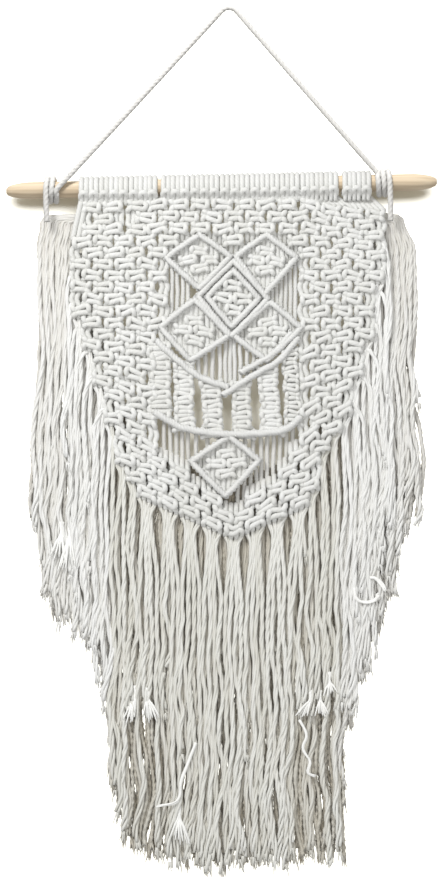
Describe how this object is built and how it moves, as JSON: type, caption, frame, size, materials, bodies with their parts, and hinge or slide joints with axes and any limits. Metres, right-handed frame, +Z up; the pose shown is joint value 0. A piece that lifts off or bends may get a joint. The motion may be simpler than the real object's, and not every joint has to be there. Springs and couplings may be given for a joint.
{
  "type": "macrame wall hanging on a wooden rod",
  "caption": "Knotted cotton cord wall hanging with a diamond motif in an open net and a long fringe, hung from a wooden rod by a hanger cord.",
  "frame": {"origin": "the point under the top of the hanger cord where a wall hook bears", "axes": "+Z up; -Y the front, which faces the room; +X to the right seen from the front"},
  "size_m": [0.379, 0.0252, 0.7644],
  "materials": {
    "pine": "bare, sanded",
    "hanger_cotton": "twisted cotton cord, natural",
    "natural_cotton": "twisted cotton cord, natural",
    "fringe_cotton": "loosely twisted cotton, natural"
  },
  "bodies": {
    "root": {"rod": "pine", "hanger_cord": "hanger_cotton", "knotted_panel": "natural_cotton", "fringe_left": "fringe_cotton", "fringe_centre": "fringe_cotton", "fringe_right": "fringe_cotton"}
  },
  "joints": []
}
